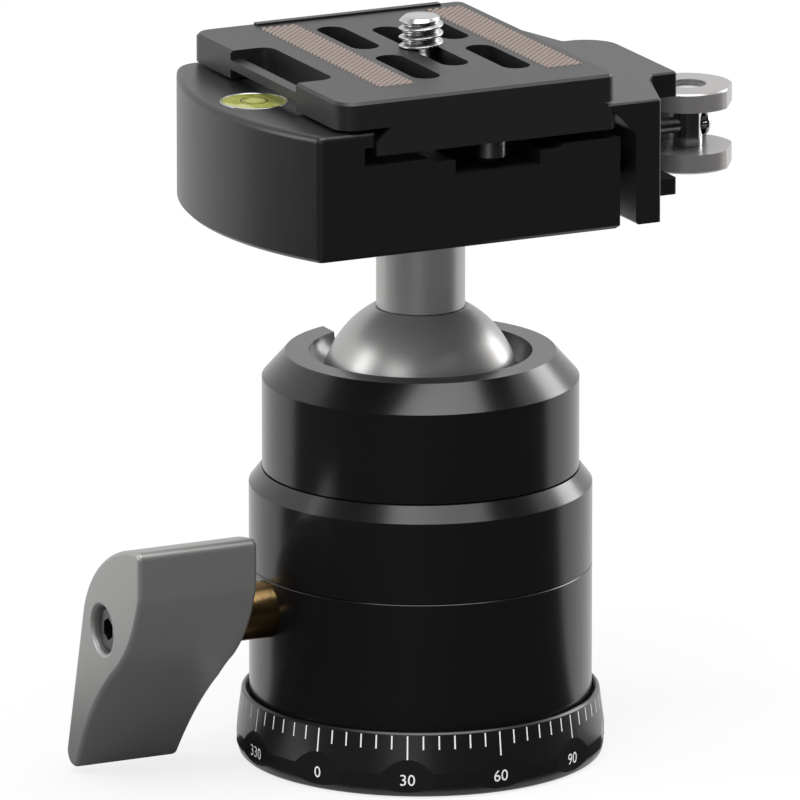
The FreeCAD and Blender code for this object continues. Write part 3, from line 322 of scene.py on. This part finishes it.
def scale_ticks():
    """Marks under the rim: two edges a tick's width apart on the cone, from the rim down by its length."""
    marks = np.arange(0, 360, TICK_STEP)
    length = np.where(marks % NUMBER_STEP == 0, LONG_TICK, SHORT_TICK)
    side = np.array([-0.5, 0.5, 0.5, -0.5]) * TICK_WIDTH / RING_RIM_R
    low = np.array([1, 1, 0, 0])
    height = RING_RIM_Z - low[None, :] * length[:, None]
    turns = (np.radians(marks + ZERO_TURN)[:, None] + side[None, :]) / TURN
    points = round_grid(ring_radius(height) + INK_LIFT, height, turns)
    faces = np.arange(4 * len(marks)).reshape(-1, 4)
    return new_piece("scale_ticks", points, faces, INK, "base", smooth=False)


def text_mesh(words, size):
    """Flat mesh of a line of text, centred on its own origin, in millimetres."""
    curve = bpy.data.curves.new("words", "FONT")
    curve.body = words
    curve.size = size
    curve.align_x = "CENTER"
    curve.align_y = "CENTER"
    curve.resolution_u = 3
    holder = bpy.data.objects.new("words", curve)
    bpy.context.scene.collection.objects.link(holder)
    bpy.context.view_layer.update()
    flat = bpy.data.meshes.new_from_object(holder)
    points = np.empty(len(flat.vertices) * 3)
    flat.vertices.foreach_get("co", points)
    faces = [list(face.vertices) for face in flat.polygons]
    bpy.data.objects.remove(holder)
    bpy.data.curves.remove(curve)
    bpy.data.meshes.remove(flat)
    return points.reshape(-1, 3), faces


def scale_numbers():
    """Degrees on the number pads: the text's x runs along the pad's tangent and its y runs up."""
    for degrees in range(0, 360, NUMBER_STEP):
        flat, faces = text_mesh(str(degrees), NUMBER_SIZE)
        angle = math.radians(degrees + ZERO_TURN)
        outward = np.array([math.cos(angle), math.sin(angle), 0])
        along = np.array([-math.sin(angle), math.cos(angle), 0])
        place = outward * (PAD_FLAT + INK_LIFT) + np.array([0, 0, NUMBER_Z])
        points = place + flat[:, :1] * along + flat[:, 1:2] * np.array([0, 0, 1])
        name = f"scale_number_{degrees}"
        mesh = bpy.data.meshes.new(name)
        mesh.from_pydata(points * MM, [], faces)
        mesh.materials.append(INK)
        piece = bpy.data.objects.new(name, mesh)
        bpy.context.scene.collection.objects.link(piece)
        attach(piece, "base")


# Threads

def camera_screw():
    """Turned screw: plain steps for its head and neck, then a radius that follows the helix, cut by a
    cone at its top."""
    turns = np.arange(THREAD_STEPS)[None, :] / THREAD_STEPS
    head_r = SCREW_HEAD_R - SCREW_HEAD_EDGE
    plain = np.array([
        (POLE_R, SCREW_SOCKET_Z), (SCREW_SOCKET_R, SCREW_SOCKET_Z), (SCREW_SOCKET_R, SCREW_HEAD_LOW),
        (head_r, SCREW_HEAD_LOW), (SCREW_HEAD_R, SCREW_HEAD_LOW + SCREW_HEAD_EDGE),
        (SCREW_HEAD_R, SCREW_HEAD_TOP - SCREW_HEAD_EDGE), (head_r, SCREW_HEAD_TOP),
        (SCREW_NECK_R, SCREW_HEAD_TOP), (SCREW_NECK_R, THREAD_LOW), (CAMERA_ROOT, THREAD_LOW)])
    height = np.linspace(THREAD_LOW + THREAD_START, THREAD_TOP, CAMERA_ROWS)[:, None]
    radius = thread_radius(turns, height, CAMERA_PITCH, CAMERA_ROOT, CAMERA_CREST)
    radius = np.minimum(radius, CAMERA_CREST - (height - (THREAD_TOP - THREAD_EDGE)))
    stem = round_grid(plain[:, :1], plain[:, 1:], turns, CAMERA_SCREW_AT)
    thread = round_grid(radius, height, turns, CAMERA_SCREW_AT)
    cap_radius = np.array([[THREAD_CAP_R], [POLE_R]])
    cap = round_grid(cap_radius, np.full((2, 1), THREAD_TOP), turns, CAMERA_SCREW_AT)
    points = np.concatenate((stem, thread, cap))
    faces = grid_faces(len(points), THREAD_STEPS, wrap=True)
    screw = new_piece("camera_screw_thread", points, faces, STEEL, "screw")
    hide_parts("camera_screw")


def tripod_thread():
    """Sleeve with a plain outside; its bore's radius follows the helix."""
    turns = np.arange(THREAD_STEPS)[None, :] / THREAD_STEPS
    height = np.linspace(TRIPOD_BUSH_Z, 0.0, TRIPOD_ROWS)[:, None]
    bore = thread_radius(turns, height, TRIPOD_PITCH, TRIPOD_ROOT, TRIPOD_CREST)
    inside = round_grid(bore, height, turns)
    foot_radius = np.array([[TRIPOD_BUSH_R - TRIPOD_EDGE], [TRIPOD_BUSH_R]])
    foot = round_grid(foot_radius, np.array([[0.0], [TRIPOD_EDGE]]), turns)
    head = round_grid(np.array([[TRIPOD_BUSH_R], [TRIPOD_CREST]]), np.full((2, 1), TRIPOD_BUSH_Z), turns)
    points = np.concatenate((inside, foot, head))
    faces = grid_faces(len(points), THREAD_STEPS, wrap=True)[:, ::-1]
    sleeve = new_piece("tripod_thread", points, faces, STEEL, "base")
    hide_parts("tripod_bush")


# Plate

def grip_strips():
    """Height of the strip's top is a product of two cosines, a pitch long each way and clipped to flat
    crests and hollows; its border drops to just above the floor of the strip's bed."""
    patches = []
    for number, (left, right) in enumerate(STRIP_PATCHES):
        columns = round((right - left) / KNURL_PITCH * KNURL_SAMPLES) + 1
        rows = round((STRIP_Y[1] - STRIP_Y[0]) / KNURL_PITCH * KNURL_SAMPLES) + 1
        x = np.linspace(left, right, columns)
        y = np.linspace(*STRIP_Y, rows)
        across, along = np.meshgrid(x, y)
        wave_across = np.cos(TURN * (across - left) / KNURL_PITCH)
        wave_along = np.cos(TURN * (along - STRIP_Y[0]) / KNURL_PITCH)
        crest = np.clip(0.5 + KNURL_STEEP * (wave_across * wave_along), 0, 1)
        height = STRIP_TOP + KNURL_HIGH * (crest - KNURL_MIDDLE)
        edge = (across == left) | (across == right) | (along == STRIP_Y[0]) | (along == STRIP_Y[1])
        height[edge] = STRIP_FLOOR
        points = np.stack((across, along, height), axis=-1)
        strip = new_piece(f"grip_strip_{number}", points, grid_faces(rows, columns), KNURL, "plate")
        # The crest attribute also keys the painted highlight on the tops and the painted shade in the
        # hollows
        strip.data.attributes.new("crest", "FLOAT", "POINT").data.foreach_set("value", crest.ravel())
        patches.append(strip)
    for strip in patches:
        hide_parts("grip_strips")


# Level

def bubble_level():
    """Shallow clear dome over the fluid, whose height falls with the square of the radius, and a
    bubble whose height falls as a circle's does."""
    radius = np.linspace(POLE_R, LEVEL_LENS_R, LENS_SAMPLES)
    dome = LEVEL_TOP + LEVEL_LIFT + LEVEL_DOME * (1 - (radius / LEVEL_LENS_R) ** 2)
    rim = [(LEVEL_R - RIM_GAP, LEVEL_TOP - RIM_DEEP), (LEVEL_R - RIM_GAP, LEVEL_TOP + RIM_SHOULDER),
           (LEVEL_R - RIM_OUTER_EDGE, LEVEL_TOP + RIM_HIGH), (LEVEL_LENS_R, LEVEL_TOP + RIM_HIGH),
           (LEVEL_LENS_R - RIM_INNER_EDGE, LEVEL_TOP + LEVEL_LIFT)]
    lathe("level_rim", rim, STEEL, "head", LEVEL_AT)
    mark = [(LEVEL_MARK_R + LEVEL_MARK_WIDTH / 2, LEVEL_TOP + LEVEL_MARK_LIFT),
            (LEVEL_MARK_R - LEVEL_MARK_WIDTH / 2, LEVEL_TOP + LEVEL_MARK_LIFT)]
    lathe("level_mark", mark, DARK_INK, "head", LEVEL_AT)
    bubble_radius = np.linspace(POLE_R, BUBBLE_R, BUBBLE_SAMPLES)
    fall = np.sqrt(np.clip(1 - (bubble_radius / BUBBLE_R) ** 2, 0, 1))
    bubble = LEVEL_TOP + LEVEL_LIFT + BUBBLE_HIGH * fall
    beside = (LEVEL_AT[0] + BUBBLE_ASIDE[0], LEVEL_AT[1] + BUBBLE_ASIDE[1])
    lathe("level_bubble", list(zip(bubble_radius, bubble))[::-1], BUBBLE, "head", beside)
    lathe("level_lens", list(zip(radius, dome))[::-1], LENS, "head", LEVEL_AT)


# Studio

AIM = Vector((-2.65, 1.28, 51.785)) * MM
CAMERA_TURN = math.radians(-25.862)
CAMERA_RISE = math.radians(14.771)
CAMERA_AWAY = 2303.6 * MM
FOCAL_LENGTH = 724.35
SENSOR_WIDTH = 36
SIGHT_END = 60
ROOM_LIGHT = 0.45
FLOOR_GREY = 0.8
FLOOR_GLOW = 0.8
FLOOR_REACH = 20000.0
FLOOR_DROP = 0.02

# Dark card, in degrees and millimetres; its profile is a radius and a height at each point
CARD_SPREAD = 100
CARD_STEPS = 49
CARD_GREY = 0.012
CARD_PROFILE = ((27.0, 0.2), (1200.0, 0.2), (3600.0, 0.2), (3400.0, 1500.0), (2300.0, 5200.0))


def direction(turn, rise):
    """Unit vector from the object: a turn from -Y, positive to the right of the picture, and a rise."""
    return Vector((math.sin(turn) * math.cos(rise), -math.cos(turn) * math.cos(rise), math.sin(rise)))


def aim(thing, place, target):
    """Put a thing at a place and turn its own -Z towards the target."""
    thing.location = place
    thing.rotation_euler = (target - place).to_track_quat("-Z", "Y").to_euler()


def camera():
    """Long lens at the photograph's turn, rise and distance."""
    lens = bpy.data.cameras.new("camera")
    lens.lens = FOCAL_LENGTH
    lens.sensor_width = SENSOR_WIDTH
    lens.clip_end = SIGHT_END
    viewer = bpy.data.objects.new("camera", lens)
    bpy.context.scene.collection.objects.link(viewer)
    aim(viewer, AIM + CAMERA_AWAY * direction(CAMERA_TURN, CAMERA_RISE), AIM)
    bpy.context.scene.camera = viewer


def softbox(name, turn, rise, away, width, height, watts):
    """Rectangular lamp, placed by its turn from the camera's own direction."""
    lamp = bpy.data.lights.new(name, "AREA")
    lamp.shape = "RECTANGLE"
    lamp.size = width
    lamp.size_y = height
    lamp.energy = watts
    box = bpy.data.objects.new(name, lamp)
    bpy.context.scene.collection.objects.link(box)
    aim(box, AIM + away * direction(CAMERA_TURN + math.radians(turn), math.radians(rise)), AIM)


def seen_white(nodes, links):
    """1 for rays that should meet plain white: camera, glossy and transmission rays."""
    path = nodes.new("ShaderNodeLightPath")
    total = path.outputs["Is Camera Ray"]
    for kind in ("Is Glossy Ray", "Is Transmission Ray"):
        either = nodes.new("ShaderNodeMath")
        either.operation = "MAXIMUM"
        links.new(total, either.inputs[0])
        links.new(path.outputs[kind], either.inputs[1])
        total = either.outputs[0]
    return total


def white_room():
    """World that lights gently and is white where it is seen."""
    world = bpy.data.worlds.new("room")
    bpy.context.scene.world = world
    world.use_nodes = True
    nodes, links = world.node_tree.nodes, world.node_tree.links
    dim = nodes["Background"]
    dim.inputs["Color"].default_value = (1, 1, 1, 1)
    dim.inputs["Strength"].default_value = ROOM_LIGHT
    white = nodes.new("ShaderNodeBackground")
    white.inputs["Color"].default_value = (1, 1, 1, 1)
    white.inputs["Strength"].default_value = 1.0
    choice = nodes.new("ShaderNodeMixShader")
    links.new(seen_white(nodes, links), choice.inputs["Fac"])
    links.new(dim.outputs[0], choice.inputs[1])
    links.new(white.outputs[0], choice.inputs[2])
    links.new(choice.outputs[0], nodes["World Output"].inputs["Surface"])


def floor():
    """Pale floor, nearly white where it is seen, that keeps a faint shadow."""
    material = bpy.data.materials.new("pale_floor")
    material.use_nodes = True
    nodes, links = material.node_tree.nodes, material.node_tree.links
    shader = nodes["Principled BSDF"]
    shader.inputs["Base Color"].default_value = (FLOOR_GREY, FLOOR_GREY, FLOOR_GREY, 1)
    shader.inputs["Roughness"].default_value = 0.9
    glow = nodes.new("ShaderNodeEmission")
    glow.inputs["Strength"].default_value = 1.0
    share = nodes.new("ShaderNodeMath")
    share.operation = "MULTIPLY"
    share.inputs[1].default_value = FLOOR_GLOW
    links.new(seen_white(nodes, links), share.inputs[0])
    choice = nodes.new("ShaderNodeMixShader")
    links.new(share.outputs[0], choice.inputs["Fac"])
    links.new(shader.outputs[0], choice.inputs[1])
    links.new(glow.outputs[0], choice.inputs[2])
    links.new(choice.outputs[0], nodes["Material Output"].inputs["Surface"])
    sides = np.array([(-1, -1), (1, -1), (1, 1), (-1, 1)]) * FLOOR_REACH
    corners = np.column_stack((sides, np.full(len(sides), -FLOOR_DROP)))
    new_piece("floor", corners, [(0, 1, 2, 3)], material, None, smooth=False)


def dark_flag():
    """Dark card along the floor and up behind the camera: a radius and a turn, seen only in reflections."""
    material = bpy.data.materials.new("dark_card")
    material.use_nodes = True
    shader = material.node_tree.nodes["Principled BSDF"]
    shader.inputs["Base Color"].default_value = (CARD_GREY, CARD_GREY, CARD_GREY, 1)
    shader.inputs["Roughness"].default_value = 1.0
    shader.inputs["Specular IOR Level"].default_value = 0.0
    degrees = np.linspace(-CARD_SPREAD, CARD_SPREAD, CARD_STEPS)[None, :]
    turns = (degrees + math.degrees(CAMERA_TURN) - 90) / 360
    radius, height = np.array(CARD_PROFILE).T
    points = round_grid(radius[:, None], height[:, None], turns)
    card = new_piece("dark_card", points, grid_faces(len(CARD_PROFILE), CARD_STEPS), material, None)
    card.visible_camera = False
    card.visible_diffuse = False
    card.visible_shadow = False
    card.visible_transmission = False


dress_nodes()
rounded_knob()
scale_ticks()
scale_numbers()
camera_screw()
tripod_thread()
grip_strips()
bubble_level()

white_room()
floor()
dark_flag()
softbox("left_softbox", turn=-84, rise=12, away=1.5, width=0.5, height=1.6, watts=14)
softbox("right_softbox", turn=128, rise=14, away=1.6, width=0.45, height=1.7, watts=16)
softbox("top_softbox", turn=20, rise=74, away=1.4, width=1.3, height=0.9, watts=16)
softbox("front_fill", turn=-32, rise=30, away=2.0, width=0.9, height=0.7, watts=6)
softbox("low_front", turn=-8, rise=2, away=2.6, width=1.1, height=0.16, watts=3)
camera()

scene = bpy.context.scene
scene.view_settings.view_transform = "Standard"
